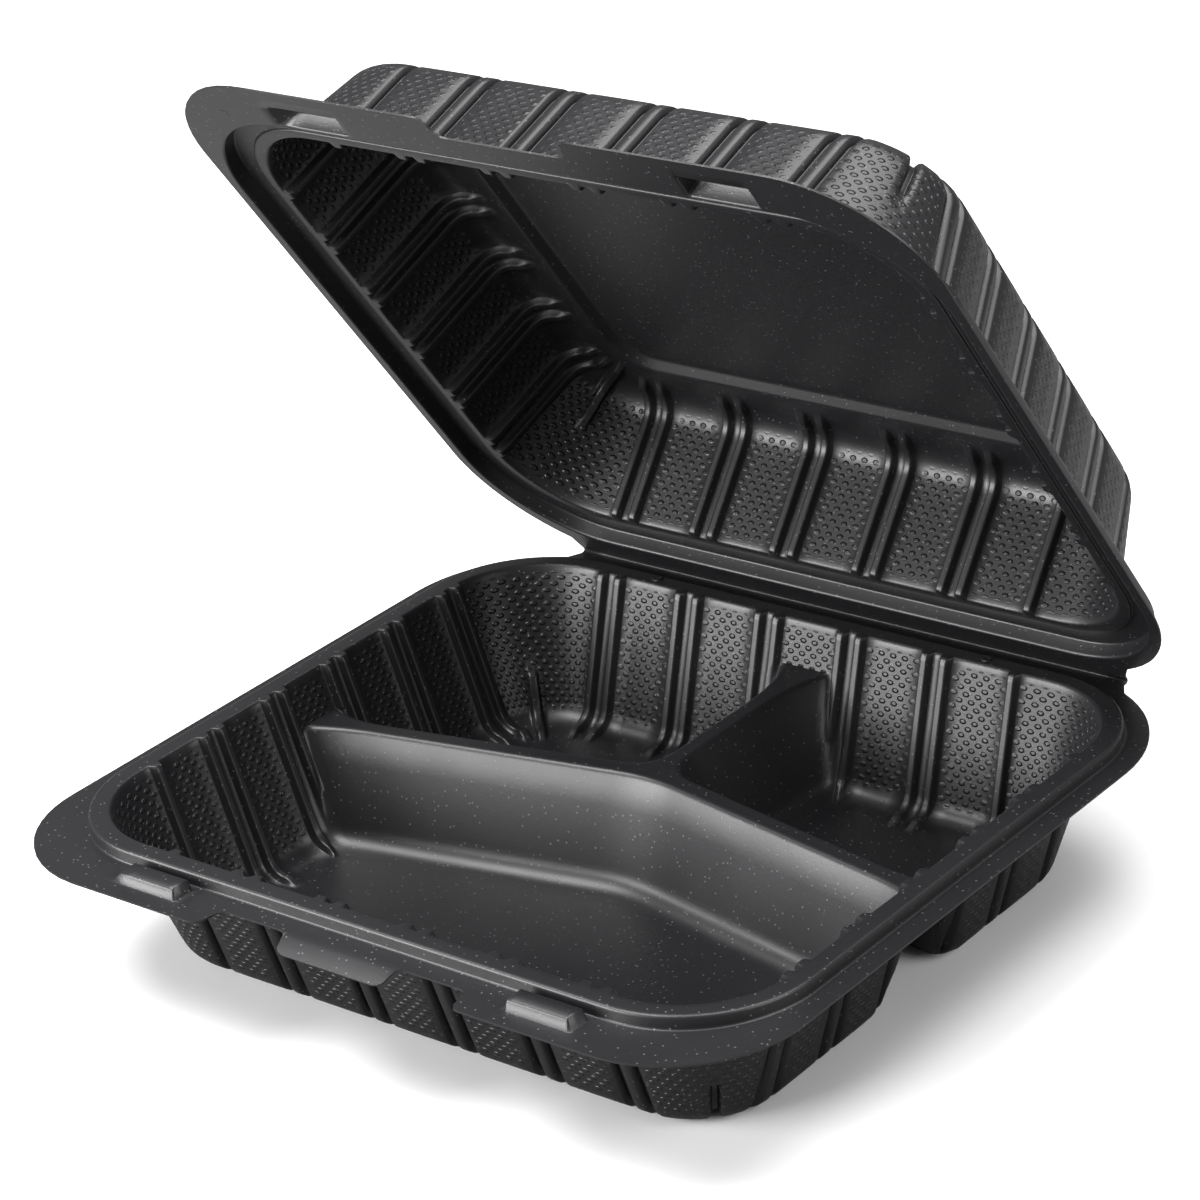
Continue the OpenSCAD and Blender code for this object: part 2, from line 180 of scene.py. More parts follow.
def wall_columns(wall, extra):
    """Columns along one wall: the edges of every rib, evenly spaced ones between, and the extra ones given."""
    ribs = rib_places(wall)
    cols = set(np.round((ribs[:, None] + RIB_STEPS).ravel(), 3).tolist())
    for a, b in zip(ribs[:-1] + RIB_HALF, ribs[1:] - RIB_HALF):
        n = max(1, int(round((b - a) / PANEL_STEP)))
        cols |= set(np.round(np.linspace(a, b, n + 1)[1:-1], 3).tolist())
    cols |= {round(e, 3) for e in extra if ribs[0] < e < ribs[-1]}
    keep = []
    fixed = set(np.round(extra, 3).tolist())
    for c in sorted(cols):
        if keep and c - keep[-1] < CLOSEST:
            if c in fixed:
                keep[-1] = c
            continue
        keep.append(c)
    return np.array(keep)


def diagonal_distance(end, straight, r):
    """Length along the outline from the corner's diagonal to a column at distance end from the wall's middle."""
    if end <= straight:
        return straight - end + r * math.pi / 4
    return r * (math.pi / 4 - math.asin(min(1.0, (end - straight) / r)))


def turn(w, x, y):
    """Turns points of wall w's own frame into the part's frame."""
    return [(x, y), (-y, x), (-x, -y), (y, -x)][w]


def drawn_in(a, straight, r):
    """Places of a wall's columns, with those past the last pair but one drawn in so that they end before the
    corner's own short rib."""
    limit = straight + r * math.sin(math.pi / 4 - (RIB_HALF + CORNER_CLEAR) / r)
    out = a.copy()
    for sign, end in ((1, a[-1]), (-1, -a[0])):
        knee = end - DRAWN
        if end > limit:
            far = sign * a > knee
            out[far] = sign * (knee + (sign * a[far] - knee) * (limit - knee) / (end - knee))
    return out


def ring(walls, form, d, r):
    """Rounded rectangle moved in by d with corner radius r, one point for each column, anticlockwise from the front.
    Returns points (n, 2), inward normals of the outline (n, 2), wall normals (n, 2) and how far the corner's curve
    has already left the wall's own line."""
    pts, nor, wal, lift_all = [], [], [], []
    for w in range(4):
        far, along = (form["hy"], form["hx"]) if w % 2 == 0 else (form["hx"], form["hy"])
        straight, straight2 = along - d - r, far - d - r
        a = drawn_in(walls[w], straight, r)
        over = np.clip(np.abs(a) - straight, 0, r * 0.999)
        lift = r - np.sqrt(r * r - over ** 2)
        s = over / r * np.sign(a)
        pts.append(np.stack(turn(w, a, -far + d + lift), 1))
        nor.append(np.stack(turn(w, -s, np.sqrt(1 - s * s)), 1))
        wal.append(np.stack(turn(w, 0 * a, 0 * a + 1), 1))
        lift_all.append(lift)
        l0 = diagonal_distance(a[-1], straight, r)
        l1 = diagonal_distance(-drawn_in(walls[(w + 1) % 4], straight2, r)[0], straight2, r)
        share = np.arange(1, CORNER_FREE + 1) / (CORNER_FREE + 1)
        ell = np.concatenate([-l0 + (l0 - RIB_HALF) * share, RIB_STEPS, RIB_HALF + (l1 - RIB_HALF) * share])
        q = r * math.pi / 4
        on = np.clip(ell, -q, q)
        phi = math.pi / 4 + on / r
        x = straight + r * np.sin(phi) + np.minimum(ell - on, 0)
        y = -far + d + r - r * np.cos(phi) + np.maximum(ell - on, 0)
        pts.append(np.stack(turn(w, x, y), 1))
        nor.append(np.stack(turn(w, -np.sin(phi), np.cos(phi)), 1))
        wal.append(nor[-1])
        lift_all.append(0 * ell)
    return np.concatenate(pts), np.concatenate(nor), np.concatenate(wal), np.concatenate(lift_all)


def column_data(walls, form):
    """Per column: rib height share of walls and corners, place along the wall panel in mm, and the panel's mask."""
    prof_w, prof_c = [], []
    for w in range(4):
        ribs = rib_places(w)
        gap = np.abs(walls[w][:, None] - ribs[None]).min(1)
        prof_w += [rib_profile(gap), np.zeros(CORNER_COLUMNS)]
        prof_c += [0 * gap, np.concatenate([np.zeros(CORNER_FREE), rib_profile(RIB_STEPS), np.zeros(CORNER_FREE)])]
    ref = ring(walls, form, 5.0, form["r0"] - 3)[0]
    s = np.concatenate([[0], np.cumsum(np.hypot(*np.diff(ref, axis=0).T))])
    total = s[-1] + np.hypot(*(ref[0] - ref[-1]))
    bounds, start = [], 0
    for w in range(4):
        ribs = rib_places(w)
        marks, k = [], 0
        while k < len(ribs):
            pair = k + 1 < len(ribs) and ribs[k + 1] - ribs[k] < PAIR_GAP + 0.5
            marks.append(((ribs[k] + ribs[k + 1]) / 2, PAIR_CLEAR) if pair else (ribs[k], RIB_CLEAR))
            k += 2 if pair else 1
        bounds += [(np.interp(m, walls[w], s[start:start + len(walls[w])]), clear) for m, clear in marks]
        start += len(walls[w]) + CORNER_COLUMNS
    at = np.array([b[0] for b in bounds])
    clear = np.array([b[1] for b in bounds])
    nxt = np.append(at[1:], at[0] + total)
    zone = np.searchsorted(at, s, side="right") - 1
    middle = ((at + nxt) / 2)[zone]
    s2 = np.where(zone < 0, s + total, s)
    u = s2 - middle
    gap = np.abs(s[:, None] - at[None]) - clear[None]
    mask = (gap.min(1) > 0).astype(float)
    return np.concatenate(prof_w), np.concatenate(prof_c), u, mask


def pan_inset(form, depth):
    """Inset and normal angle of a drafted wall with a fillet at its foot, at a depth below the mouth."""
    phi = math.atan(form["lean"])
    f, total = form["fillet"], form["depth"]
    c = form["lean"] * (total - f) + f / math.cos(phi)
    up = total - depth
    if up >= f * (1 - math.sin(phi)):
        return form["lean"] * depth, phi
    t = math.asin(1 - up / f)
    return c - f * math.cos(t), t


def pan_radius(form, d):
    """Corner radius at an inset d: from r0 at the mouth to r1 at the foot."""
    total = pan_inset(form, form["depth"])[0]
    return form["r0"] + (form["r1"] - form["r0"]) * max(d, 0) / total if d > 0 else form["r0"] - d


def fillet_depths(form, n):
    """Depths that divide the fillet's turn into n equal steps."""
    phi = math.atan(form["lean"])
    ts = np.linspace(phi, math.pi / 2, n + 1)
    return form["depth"] - form["fillet"] * (1 - np.sin(ts))


class Skin:
    """Collects grid rows of points with their panel data, and the faces between them."""

    def __init__(self):
        self.points, self.uv, self.mask, self.faces, self.count = [], [], [], [], 0
        self.sharp = []

    def row(self, pts, z, u, v, mask):
        """Adds a row of points at height z, with their place on the panel and its mask. Returns their numbers."""
        n = len(pts)
        self.points.append(np.column_stack([pts, np.broadcast_to(z, n)]))
        self.uv.append(np.column_stack([np.broadcast_to(u, n), np.broadcast_to(v, n)]))
        self.mask.append(np.broadcast_to(mask, n))
        self.count += n
        return np.arange(self.count - n, self.count)

    def band(self, outer, inner):
        """Quads between two closed rows, the second one further in, with normals up."""
        o2, i2 = np.roll(outer, -1), np.roll(inner, -1)
        self.faces += np.column_stack([outer, o2, i2, inner]).tolist()

    def fill(self, ids, z):
        """Closes a flat row towards its middle with three more rows and one small face."""
        edge = self.points[-1][:, :2]
        middle = (edge.max(0) + edge.min(0)) / 2
        for share in (0.7, 0.3, 0.03):
            row = self.row(middle + (edge - middle) * share, z, 0, 0, 0)
            self.band(ids, row)
            ids = row
        self.faces.append(ids.tolist())

    def finish(self, name, edge, flip, place):
        """Second side one sheet behind the first along its normals, and the trimmed edge between both."""
        pts, uv, mask = np.concatenate(self.points), np.concatenate(self.uv), np.concatenate(self.mask)
        probe = bpy.data.meshes.new("probe")
        probe.from_pydata(pts.tolist(), [], self.faces)
        probe.update()
        nor = np.zeros(len(pts) * 3)
        probe.vertex_normals.foreach_get("vector", nor)
        bpy.data.meshes.remove(probe)
        back = pts - SHEET * nor.reshape(-1, 3)
        n = len(pts)
        faces = self.faces + [[i + n for i in reversed(f)] for f in self.faces]
        e2 = np.roll(edge, -1)
        faces += np.column_stack([e2, edge, edge + n, e2 + n]).tolist()
        verts = place(np.concatenate([pts, back]))
        if flip:
            faces = [f[::-1] for f in faces]
        obj = new_mesh(name, verts, faces, BLACK)
        mesh = obj.data
        loops = np.zeros(len(mesh.loops), np.int32)
        mesh.loops.foreach_get("vertex_index", loops)
        uv2, mask2 = np.concatenate([uv, uv]), np.concatenate([mask, mask])
        layer = mesh.uv_layers.new(name="wall_mm")
        layer.data.foreach_set("uv", uv2[loops].ravel())
        panel = mesh.attributes.new("panel", "FLOAT", "POINT")
        panel.data.foreach_set("value", mask2.astype(np.float32))
        # the sheet's cut edge stays sharp
        crease = set()
        for a, b in list(zip(edge.tolist(), e2.tolist())) + self.sharp:
            crease |= {(min(a, b), max(a, b)), (min(a + n, b + n), max(a + n, b + n))}
        ends = np.zeros(len(mesh.edges) * 2, np.int32)
        mesh.edges.foreach_get("vertices", ends)
        ends = np.sort(ends.reshape(-1, 2), 1)
        sharp = [(int(a), int(b)) in crease for a, b in ends]
        mark = mesh.attributes.new("sharp_edge", "BOOLEAN", "EDGE")
        mark.data.foreach_set("value", sharp)
        return obj


def reach_to_trim(foot, out, inside):
    """Distance from each foot point along out to the trimmed edge, by halving steps of the inside test."""
    low, high = np.zeros(len(foot)), np.full(len(foot), 40.0)
    for _ in range(24):
        mid = (low + high) / 2
        ok = inside(foot + out * mid[:, None])
        low, high = np.where(ok, mid, low), np.where(ok, high, mid)
    return low


def in_trim(p, x, front, back, front_line):
    """True inside the flange outline: a box with its own corner radii at front and back, the hinge strip, and the
    front's own line."""
    ax = np.abs(p[:, 0])
    r = np.where(p[:, 1] < 0, *TRIM_RADII)
    edge = np.where(p[:, 1] < 0, front, back)
    qx, qy = ax - (x - r), np.abs(p[:, 1]) - (edge - r)
    box = (np.maximum(qx, qy) < r) & (np.hypot(np.maximum(qx, 0), np.maximum(qy, 0)) < r)
    strip = (ax < STRIP_HALF) & (p[:, 1] > STRIP_FROM) & (p[:, 1] < back)
    return (box | strip) & (p[:, 1] > front_line(ax))


def latch(p, half_w, half_d):
    """Share of a latch block's height at each point: a box with short drafted sides."""
    fx = np.interp(np.abs(np.abs(p[:, 0]) - LATCH_X) - half_w, [-0.9, -0.5, -0.1, 0.1], [1, 0.9, 0.12, 0])
    fy = np.interp(np.abs(p[:, 1] - LATCH_Y) - half_d, [-0.8, -0.4, -0.05, 0.1], [1, 0.9, 0.12, 0])
    return fx * fy


def latch_columns(half_w):
    """Columns at the sides of the two latch blocks."""
    return [s * (LATCH_X + t * (half_w + e)) for s in (-1, 1) for t in (-1, 1) for e in (-0.9, -0.5, -0.1, 0.15)]


def both(values):
    """Values with both signs."""
    return [s * v for s in (-1, 1) for v in values if v > 0] + [0.0]


walls = [wall_columns(0, both(FRONT_X) + latch_columns(LATCH_HALF[0])),
         wall_columns(1, [-TURN, TURN, -CUT[0], CUT[1]]),
         wall_columns(2, [-TURN, TURN, -CUT[2], CUT[2]]),
         wall_columns(3, [-TURN, TURN, CUT[0], -CUT[1]])]
prof_w, prof_c, panel_u, panel_mask = column_data(walls, TRAY)
skin = Skin()

# flange, from the trimmed edge in to the rim's foot
foot, foot_n, _, _ = ring(walls, TRAY, -RIM_FOOT, TRAY["r0"] + RIM_FOOT)


def tray_inside(p):
    """Inside test of the tray's flange."""
    return in_trim(p, 114.5, 109.75, 103.55, lambda ax: np.interp(ax, FRONT_X, FRONT_Y))


reach = reach_to_trim(foot, -foot_n, tray_inside)
rows = []
for e in (13.1, 12.5, 10.5, 8.2, 7.85, 7.45, 7.05, 4.6, 2.2, 1.8, 1.45, 1.15, 0.5):
    p = foot - foot_n * (reach * e / RIM_REACH)[:, None]
    droop = TONGUE_DROOP * np.clip((-101.75 - p[:, 1]) / 6.0, 0, 1) ** 1.4 * (np.abs(p[:, 0]) < TONGUE_HALF)
    z = FLANGE_Z + LATCH_RISE * latch(p, *LATCH_HALF) - droop
    rows.append(skin.row(p, z, 0, 0, 0))
edge_row = rows[0]
# rim: foot, outer side, flat top, rounded mouth edge
for out, z, rib in ((6.4, 38.6, 0), (6.05, 38.66, 0), (5.86, 38.85, 0), (5.8, 39.2, 0), (5.6, 41.25, 0),
                    (5.5, 41.6, 0), (5.27, 41.9, 0), (4.9, 42.06, 0), (4.4, 42.1, 0), (1.6, 42.1, 0),
                    (0.8, 42.1, 1), (0.4, 42.02, 1), (0.08, 41.8, 1), (-0.14, 41.4, 1), (-0.34, 41.0, 1)):
    p, n, wn, lift = ring(walls, TRAY, -out, pan_radius(TRAY, -out))
    p = p + wn * (RIB_DEPTH * rib * np.maximum(prof_w - lift / RIB_DEPTH, 0))[:, None]
    rows.append(skin.row(p, z, panel_u, RIM_Z - z, 0))


def tray_ring(z, corner_rib):
    """The whole ribbed wall at height z above the table: its outline without ribs, both kinds of normals, the ribs'
    rise (share of a rib times its depth, less where the corner's curve takes over), the inset and the wall's angle."""
    d, t = pan_inset(TRAY, RIM_Z - z)
    base, n, wn, lift = ring(walls, TRAY, d, pan_radius(TRAY, d))
    rise = RIB_DEPTH * (np.maximum(prof_w - lift * math.cos(t) / RIB_DEPTH, 0) + prof_c * corner_rib)
    return base, n, wn, rise, d, t


def wall_start(w):
    """Number of the first column of wall w."""
    return sum(len(walls[k]) + CORNER_COLUMNS for k in range(w))


on_crest = np.zeros(len(panel_mask), bool)
for w, low, high in ((1, -CUT[0], CUT[1]), (2, -CUT[2], CUT[2]), (3, -CUT[1], CUT[0])):
    first = wall_start(w)
    on_crest[first:first + len(walls[w])] = (walls[w] >= low - 0.01) & (walls[w] <= high + 0.01)
for z, mask in ((40.2, 0), (39.6, 1), (36, 1), (33, 1), (CREST_Z + 0.35, 1), (CREST_Z, ~on_crest)):
    base, n, wn, rise, d, t = tray_ring(z, 0)
    rows.append(skin.row(base + wn * (rise * math.cos(t))[:, None], z + rise * math.sin(t), panel_u,
                         (RIM_Z - z) / math.cos(t), panel_mask * mask))
for a, b in zip(rows[:-1], rows[1:]):
    skin.band(a, b)
top_row = rows[-1]

# dividers: half width of the crest, middle of the Y, where the arms meet the side walls and bend towards them, how
# far the lines run on past the walls, and radius of the nooks
DIVIDER = dict(depth=29.5, lean=0.34, fillet=7.0)
B, JUNCTION, WALL_Y, BEND_X, BEND_Y, OUT, NOOK = 2.75, 18.8, -0.7, 89.0, 1.868, 12.0, 9.0
HX, HY = TRAY["hx"], TRAY["hy"]
FRONT_LINE = [(HX + OUT, WALL_Y - B - NOOK), (BEND_X, BEND_Y - B), (0, JUNCTION - B), (-BEND_X, BEND_Y - B),
              (-HX - OUT, WALL_Y - B - NOOK)]
RIGHT_LINE = [(B + NOOK, HY + OUT), (B, HY - 2 * NOOK), (B, JUNCTION + B), (BEND_X, BEND_Y + B),
              (HX + OUT, WALL_Y + B + NOOK)]
LEFT_LINE = [(-x, y) for x, y in reversed(RIGHT_LINE)]


def dense(points, step=0.2):
    """Points every step along a polyline."""
    p = np.asarray(points, float)
    s = np.concatenate([[0], np.cumsum(np.hypot(*np.diff(p, axis=0).T))])
    at = np.linspace(0, s[-1], max(2, int(s[-1] / step)))
    return np.column_stack([np.interp(at, s, p[:, 0]), np.interp(at, s, p[:, 1])])


def soften(p, half, step=0.2):
    """Moving mean over half a width to each side, with the ends drawn on straight."""
    n = int(half / step)
    if n < 1:
        return p
    k = np.arange(n, 0, -1)[:, None]
    head = p[0] - k * (p[1] - p[0])
    tail = p[-1] + k[::-1] * (p[-1] - p[-2])
    q = np.concatenate([head, p, tail])
    window = np.ones(2 * n + 1) / (2 * n + 1)
    return np.column_stack([np.convolve(q[:, 0], window, "valid"), np.convolve(q[:, 1], window, "valid")])


def divider_path(line, d, first, last, x_wall, y_wall, half):
    """Outline of a hollow along a divider: from a point on one wall, round the nook, along the divider moved in
    by d, round the other nook to a point on the other wall. Returns dense points and the nooks' distances."""
    p = np.asarray(line, float)
    dirs = np.diff(p, axis=0)
    dirs /= np.hypot(*dirs.T)[:, None]
    nor = np.column_stack([-dirs[:, 1], dirs[:, 0]])
    mid = (nor[:-1] + nor[1:]) / (1 + (nor[:-1] * nor[1:]).sum(1))[:, None]
    moved = p + d * np.concatenate([nor[:1], mid, nor[-1:]])
    curve = soften(dense(moved), NOOK)
    g = np.maximum(np.abs(curve[:, 0]) - x_wall, np.abs(curve[:, 1]) - y_wall)
    inside = np.nonzero(g < 0)[0]
    i, j = inside[0], inside[-1]
    a = curve[i] + (curve[i - 1] - curve[i]) * (-g[i] / (g[i - 1] - g[i]))
    b = curve[j] + (curve[j + 1] - curve[j]) * (-g[j] / (g[j + 1] - g[j]))
    path = dense(np.concatenate([[first], [a], curve[i:j + 1], [b], [last]]))
    return soften(path, half), np.hypot(*(a - first)), np.hypot(*(b - last))


def column_at(w, a):
    """Number of the column at place a of wall w."""
    return wall_start(w) + int(np.argmin(np.abs(walls[w] - a)))


def along(w, i):
    """Places along wall w of column numbers i."""
    return walls[w][np.asarray(i) - wall_start(w)]


# heights of a hollow's rows. At the crest's rounded edge each also has its own inset from the divider's side.
LEVELS = [(30.0, -1.2), (29.93, -0.75), (29.72, -0.33), (29.35, 0.02), (28.8, None), (21.0, None),
          (14.4, None), (13.6, None), (12.6, None), (9.0, None), (6.6, None)]
LEVELS += [(RIM_Z - depth, None) for depth in fillet_depths(TRAY, 7)]
LEVELS[-1] = (SHEET, None)
# rows past the fillet, where the ribs run out: distance from the fillet, share of the walls' and the corners' ribs
FLOOR_STEPS = ((0.8, 0.9, 1), (1.7, 0.72, 0.98), (2.5, 0.5, 0.92), (3.2, 0.31, 0.8), (3.9, 0.15, 0.62),
               (4.5, 0.05, 0.44), (5.0, 0.01, 0.27), (5.5, 0, 0.12), (5.9, 0, 0.04), (6.3, 0, 0))


def hollow(line, w_start, cut_start, w_end, cut_end, free):
    """One compartment, from the crest down to its floor. Its outline runs anticlockwise along the tray's wall from
    place cut_start of wall w_start to place cut_end of wall w_end, and back along the divider."""
    i0, i1 = column_at(w_start, cut_start), column_at(w_end, cut_end)
    run = np.arange(i0, i1 + 1) if i1 > i0 else np.concatenate([np.arange(i0, len(top_row)), np.arange(0, i1 + 1)])
    fix0, fix1 = column_at(w_start, TURN), column_at(w_end, -TURN)
    k0 = int(np.nonzero(run == fix0)[0][0])
    k1 = int(np.nonzero(run == fix1)[0][0])
    back_s = TURN - along(w_start, run[:k0])
    front_s = TURN + along(w_end, run[k1 + 1:])
    ids, foot_pts, foot_rise = None, None, None
    for z, special in LEVELS:
        corner = float(np.interp(z, [12.6, 13.6, 14.4], [1, 0.85, 0]))
        base, n, wn, rise, d, t = tray_ring(z, corner)
        dz = pan_inset(DIVIDER, CREST_Z - z)[0] if special is None else special
        half = float(np.interp(z, [0.5, 6, 20, 28.8, 30], [6.5, 6, 4.5, 2, 1.0]))
        path, near_a, near_b = divider_path(line, dz, base[fix1], base[fix0], HX - d, HY - d, half)
        s = np.concatenate([[0], np.cumsum(np.hypot(*np.diff(path, axis=0).T))])
        total = s[-1]

        def at(q):
            """Points at distances q along the path."""
            return np.column_stack([np.interp(q, s, path[:, 0]), np.interp(q, s, path[:, 1])])

        gap = (total - back_s[0] - front_s[-1]) / (free + 1)
        free_s = front_s[-1] + gap * np.arange(1, free + 1)
        pts = np.concatenate([at(total - back_s), base[run[k0:k1 + 1]], at(front_s), at(free_s)])
        up = rise[run].copy()
        up[:k0] *= np.clip((near_b - back_s) / 1.2, 0, 1)
        up[k1 + 1:] *= np.clip((near_a - front_s) / 1.2, 0, 1)
        up = np.concatenate([up, np.zeros(free)])
        wall_n = np.concatenate([wn[run], np.zeros((free, 2))])
        mask = panel_mask[run] * float(np.interp(z, [4.0, 5.6], [0, 1])) * (1 - prof_c[run] * corner)
        mask[:k0] *= near_b - back_s > 2
        mask[k1 + 1:] *= near_a - front_s > 2
        mask = np.concatenate([mask, np.zeros(free)])
        u = np.concatenate([panel_u[run], np.zeros(free)])
        placed = pts + wall_n * (up * math.cos(t))[:, None]
        v = (RIM_Z - z) / math.cos(math.atan(TRAY["lean"]))
        if ids is None:
            new = skin.row(placed[len(run):], z, 0, 0, 0)
            ids = np.concatenate([top_row[run], new])
            top = new
        else:
            row = skin.row(placed, z + up * math.sin(t), u, v, mask)
            skin.band(ids, row)
            ids = row
        foot_pts, foot_rise = pts, up
    # direction of the foot's outline, taken over 3 mm to each side
    round3 = np.concatenate([foot_pts, foot_pts, foot_pts, foot_pts[:1]])
    s = np.concatenate([[0], np.cumsum(np.hypot(*np.diff(round3, axis=0).T))])
    here = s[len(foot_pts):2 * len(foot_pts)]
    tangent = np.column_stack([np.interp(here + 3, s, round3[:, k]) - np.interp(here - 3, s, round3[:, k])
                               for k in (0, 1)])
    tangent /= np.hypot(*tangent.T)[:, None]
    inward = np.column_stack([-tangent[:, 1], tangent[:, 0]])
    corner_share = np.concatenate([prof_c[run] > 0, np.zeros(free, bool)])
    # the floor's rows run close together along the divider, and spread again away from the nooks
    spread = np.concatenate([np.ones(len(run)), np.full(free, 0.12)])
    spread[:k0] = np.interp(near_b - back_s, [-1, min(11, near_b)], [0.12, 1])
    spread[k1 + 1:len(run)] = np.interp(near_a - front_s, [-1, min(11, near_a)], [0.12, 1])
    for e, wall_part, corner_part in FLOOR_STEPS:
        up = foot_rise * np.where(corner_share, corner_part, wall_part)
        row = skin.row(foot_pts + inward * (e * spread)[:, None], SHEET + up, 0, 0, 0)
        skin.band(ids, row)
        ids = row
    skin.fill(ids, SHEET)
    return run, top


front_run, front_top = hollow(FRONT_LINE, 3, CUT[0], 1, -CUT[0], 96)
right_run, right_top = hollow(RIGHT_LINE, 1, CUT[1], 2, -CUT[2], 66)
left_run, left_top = hollow(LEFT_LINE, 2, CUT[2], 3, -CUT[1], 66)
# flat crest of the dividers, one face between the three hollows
crest = np.concatenate([top_row[front_run[-1]:right_run[0] + 1], right_top[::-1],
                        top_row[right_run[-1]:left_run[0] + 1], left_top[::-1],
                        top_row[left_run[-1]:front_run[0] + 1], front_top[::-1]])
skin.faces.append(crest.tolist())
for a, b in zip(top_row[:-1], top_row[1:]):
    if on_crest[a - top_row[0]] and on_crest[b - top_row[0]]:
        skin.sharp.append((int(a), int(b)))
tray = skin.finish("tray_sheet", edge_row, False, lambda p: p)
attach(tray, "base")
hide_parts("base_tray")


# ---------------------------------------------------------------- lid
# The other half of the same sheet: flange, channel that drops over the tray's rim, flat sealing strip, ribbed
# walls, rounded shoulder and a raised top panel. It is built as a pan with its mouth up, food side first, then
# turned over and opened about the hinge line.
LID = dict(hx=99.3, hy=87.05, r0=27.0, r1=18.0, depth=33.95, lean=0.28, fillet=9.0)
MOUTH_H, ROOF_H, PANEL_H = 3.65, 37.6, 40.0         # above the joint's plane when shut
POCKET_HALF, POCKET_RISE = (10.1, 3.8), 4.3
LID_FOOT, LID_REACH = 10.1, 14.1    # from the mouth out to the channel's outer foot, and on to the flange's edge
ROOF_STEPS = ((0.8, 0.88, 1), (1.8, 0.66, 0.96), (2.7, 0.4, 0.84), (3.5, 0.2, 0.64), (4.3, 0.07, 0.4),
              (5.0, 0.01, 0.2), (5.6, 0, 0.06), (6.2, 0, 0))
# raised panel: half width, corner radius and height of each row. It is 12.25 mm shorter from middle to front.
PANEL_STEPS = ((73.9, 12.6, 37.6), (73.4, 12.1, 37.68), (72.9, 11.8, 38.0), (71.3, 11.4, 39.6), (70.8, 11.0, 39.92),
               (70.2, 10.5, 40.0), (68.5, 9.5, 40.0))
PANEL_SHORTER = 12.25
AXIS_Y, AXIS_Z, LID_OPEN = 104.75, 38.75, 54.6      # hinge line, and degrees from shut
# front line of the lid's flange: cut back at the tongue
LID_X = [0, 17, 18.6, 19.6, 20, 20.4, 21.4, 23]
LID_Y = [-104.25, -104.25, -104.6, -106, -107.75, -109.5, -110.9, -111.25]
walls = [wall_columns(0, both(LID_X) + latch_columns(POCKET_HALF[0])), wall_columns(1, []), wall_columns(2, []),
         wall_columns(3, [])]
prof_w, prof_c, panel_u, panel_mask = column_data(walls, LID)
skin = Skin()


def lid_radius(out):
    """Corner radius of the lid's rim at an outset: from the wall's own to one that stays even with the tray's rim."""
    return float(np.interp(out, [-5, 0, 0.7, 2.4, 3.0, 10.1], [27, 27, 27.5, 27.6, 27.8, 34.9]))


foot, foot_n, _, _ = ring(walls, LID, -LID_FOOT, lid_radius(LID_FOOT))


def lid_inside(p):
    """Inside test of the lid's flange."""
    return in_trim(p, 112.0, 111.25, 103.85, lambda ax: np.interp(ax, LID_X, LID_Y))


reach = reach_to_trim(foot, -foot_n, lid_inside)
rows = []
for e in (14.1, 13.4, 11.0, 8.1, 7.75, 7.3, 6.8, 4.0, 1.3, 0.75, 0.35):
    p = foot - foot_n * (reach * e / LID_REACH)[:, None]
    rows.append(skin.row(p, -0.15 - POCKET_RISE * latch(p, *POCKET_HALF), 0, 0, 0))
edge_row = rows[0]
for out, z, rib in ((10.1, -0.15, 0), (9.65, -0.25, 0), (9.4, -0.6, 0), (9.3, -1.0, 0), (9.08, -4.0, 0),
                    (8.9, -4.38, 0), (8.5, -4.55, 0), (3.5, -4.55, 0), (3.15, -4.48, 0), (3.0, -4.2, 0),
                    (2.95, -3.9, 0), (2.75, -3.7, 0), (2.4, -3.65, 0), (1.4, -3.65, 0), (0.7, -3.65, 1),
                    (0.35, -3.73, 1), (0.05, -3.98, 1), (-0.2, -4.4, 1)):
    p, n, wn, lift = ring(walls, LID, -out, lid_radius(out) if out > 0 else pan_radius(LID, -out))
    p = p + wn * (RIB_DEPTH * rib * np.maximum(prof_w - lift / RIB_DEPTH, 0))[:, None]
    rows.append(skin.row(p, z, panel_u, 0, 0))
lid_depths = [1.9, 2.5, 6, 10, 14, 18, 21.2, 22, 23] + fillet_depths(LID, 8).tolist()
for depth in lid_depths:
    d, t = pan_inset(LID, depth)
    base, n, wn, lift = ring(walls, LID, d, pan_radius(LID, d))
    corner = float(np.interp(depth, [LID["depth"] - 14, LID["depth"] - 12.6], [0, 1]))
    rise = RIB_DEPTH * (np.maximum(prof_w - lift * math.cos(t) / RIB_DEPTH, 0) + prof_c * corner)
    mask = panel_mask * float(np.interp(depth, [1.9, 2.5, 28.5, 31], [0, 1, 1, 0])) * (1 - prof_c * corner)
    rows.append(skin.row(base + wn * (rise * math.cos(t))[:, None], -MOUTH_H - depth + rise * math.sin(t), panel_u,
                         depth / math.cos(math.atan(LID["lean"])), mask))
foot_pts, foot_n, foot_rise = base, n, rise
for e, wall_part, corner_part in ROOF_STEPS:
    up = foot_rise * np.where(prof_c > 0, corner_part, wall_part)
    rows.append(skin.row(foot_pts + foot_n * e, -ROOF_H + up, 0, 0, 0))
for x, r, h in PANEL_STEPS:
    y = x - PANEL_SHORTER
    core = np.clip(foot_pts, [-(x - r), -(y - r)], [x - r, y - r])
    ray = foot_pts - core
    rows.append(skin.row(core + ray / np.hypot(*ray.T)[:, None] * r, -h, 0, 0, 0))
for a, b in zip(rows[:-1], rows[1:]):
    skin.band(a, b)
skin.fill(rows[-1], -PANEL_H)


